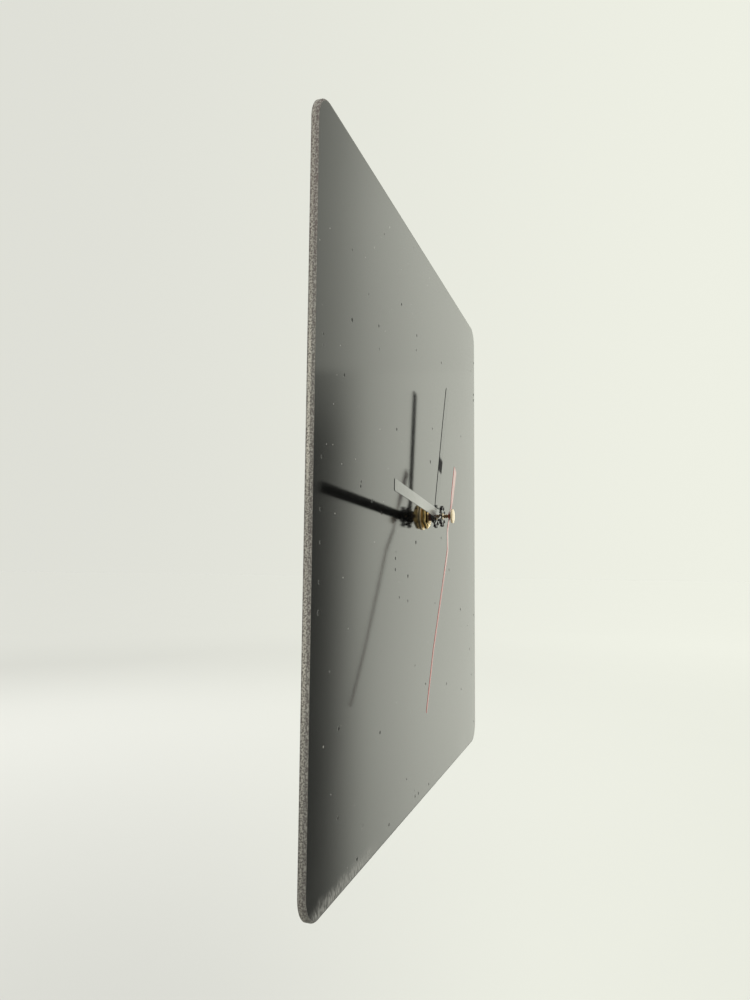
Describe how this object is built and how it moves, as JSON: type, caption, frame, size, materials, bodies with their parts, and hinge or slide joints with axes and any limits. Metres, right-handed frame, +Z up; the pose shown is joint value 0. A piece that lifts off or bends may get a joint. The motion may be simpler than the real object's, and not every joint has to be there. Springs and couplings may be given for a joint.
{
  "type": "wall clock",
  "caption": "Square frameless wall clock: dark glass dial plate with baton hands and a red seconds needle, on a battery quartz movement with a keyhole hanger.",
  "frame": {"origin": "on the hand shaft's axis, at the wall plane that the movement's back touches", "axes": "+Z up, +X to the viewer's right at three o'clock, the dial faces -Y and the wall is on the +Y side"},
  "size_m": [0.3, 0.0391, 0.3],
  "materials": {
    "dial_glass": "polished",
    "washer_brass": "satin",
    "nut_brass": "polished",
    "bushing_brass": "satin",
    "washer_rubber": "matt",
    "hanger_steel": "zinc plated",
    "case_plastic": "moulded",
    "plate_plastic": "moulded",
    "hour_wheel_plastic": "moulded",
    "wheel_plastic": "moulded",
    "pipe_brass": "turned",
    "spring_bronze": "rolled",
    "rotor_ferrite": "ground",
    "soft_iron": "rolled",
    "bobbin_plastic": "moulded",
    "enamelled_wire": "enamelled copper",
    "board_laminate": "paper laminate",
    "chip_resin": "cast resin",
    "crystal_can": "plated",
    "contact_steel": "nickel plated",
    "battery_wrap": "printed film",
    "battery_steel": "nickel plated",
    "knob_plastic": "moulded",
    "hand_black": "gloss",
    "hand_red": "satin",
    "collet_brass": "turned",
    "cap_cream": "satin",
    "arbor_steel": "polished"
  },
  "bodies": {
    "movement": {"dial_panel": "dial_glass", "front_washer": "washer_brass", "hex_nut": "nut_brass", "rubber_washer": "washer_rubber", "hanger_plate": "hanger_steel", "threaded_bushing": "bushing_brass", "case_front": "case_plastic", "case_back": "case_plastic", "middle_plate": "plate_plastic", "stator_plate": "soft_iron", "coil_core": "soft_iron", "coil_bobbin": "bobbin_plastic", "coil_winding": "enamelled_wire", "circuit_board": "board_laminate", "chip_cap": "chip_resin", "quartz_crystal": "crystal_can", "battery_contact_positive": "contact_steel", "battery_contact_negative": "contact_steel"},
    "hour_group": {"hour_wheel": "hour_wheel_plastic", "hour_hand": "hand_black"},
    "minute_group": {"minute_pipe": "pipe_brass", "minute_hand": "hand_black", "clutch_spring": "spring_bronze"},
    "second_group": {"seconds_wheel": "wheel_plastic", "seconds_arbor": "arbor_steel", "second_hand": "hand_red", "second_hand_tube": "collet_brass", "second_hand_cap": "cap_cream"},
    "centre_group": {"centre_gear": "wheel_plastic"},
    "third_group": {"third_wheel": "wheel_plastic", "third_arbor": "arbor_steel"},
    "intermediate_group": {"intermediate_wheel": "wheel_plastic", "intermediate_arbor": "arbor_steel"},
    "rotor_group": {"rotor_pinion": "wheel_plastic", "rotor_magnet": "rotor_ferrite", "rotor_arbor": "arbor_steel"},
    "motion_group": {"motion_wheel": "wheel_plastic"},
    "knob_group": {"setting_knob": "knob_plastic"},
    "battery": {"battery_sleeve": "battery_wrap", "battery_cap": "battery_steel", "battery_base": "battery_steel"}
  },
  "joints": [
    {"name": "second_spin", "type": "hinge", "parent": "movement", "child": "second_group", "pos_m": [0, -0.0073, 0], "axis": [0, 1, 0], "continuous": true},
    {"name": "minute_spin", "type": "hinge", "parent": "movement", "child": "minute_group", "pos_m": [0, -0.0125, 0], "axis": [0, 1, 0], "continuous": true},
    {"name": "hour_spin", "type": "hinge", "parent": "movement", "child": "hour_group", "pos_m": [0, -0.0137, 0], "axis": [0, 1, 0], "continuous": true},
    {"name": "centre_gear_spin", "type": "hinge", "parent": "movement", "child": "centre_group", "pos_m": [0, -0.0101, 0], "axis": [0, 1, 0], "continuous": true},
    {"name": "third_wheel_spin", "type": "hinge", "parent": "movement", "child": "third_group", "pos_m": [0.00736, -0.0085, 0.00425], "axis": [0, 1, 0], "continuous": true},
    {"name": "intermediate_wheel_spin", "type": "hinge", "parent": "movement", "child": "intermediate_group", "pos_m": [-0.00432, -0.0059, 0.00748], "axis": [0, 1, 0], "continuous": true},
    {"name": "rotor_spin", "type": "hinge", "parent": "movement", "child": "rotor_group", "pos_m": [-0.01038, -0.0059, 0.01098], "axis": [0, 1, 0], "continuous": true},
    {"name": "motion_wheel_spin", "type": "hinge", "parent": "movement", "child": "motion_group", "pos_m": [0.00217, -0.0125, 0.00811], "axis": [0, 1, 0], "continuous": true},
    {"name": "setting_knob_spin", "type": "hinge", "parent": "movement", "child": "knob_group", "pos_m": [0.00637, -0.0125, 0.01539], "axis": [0, 1, 0], "continuous": true},
    {"name": "battery_pull", "type": "slide", "parent": "movement", "child": "battery", "axis": [0, 1, 0], "range_m": [0, 0.02]}
  ],
  "couplings": [
    {"joint": "third_wheel_spin", "follows": "second_spin", "ratio": -0.13333},
    {"joint": "centre_gear_spin", "follows": "second_spin", "ratio": 0.016667},
    {"joint": "intermediate_wheel_spin", "follows": "second_spin", "ratio": -5},
    {"joint": "rotor_spin", "follows": "second_spin", "ratio": 30},
    {"joint": "motion_wheel_spin", "follows": "minute_spin", "ratio": -0.33333},
    {"joint": "hour_spin", "follows": "minute_spin", "ratio": 0.083333},
    {"joint": "setting_knob_spin", "follows": "minute_spin", "ratio": 1}
  ]
}
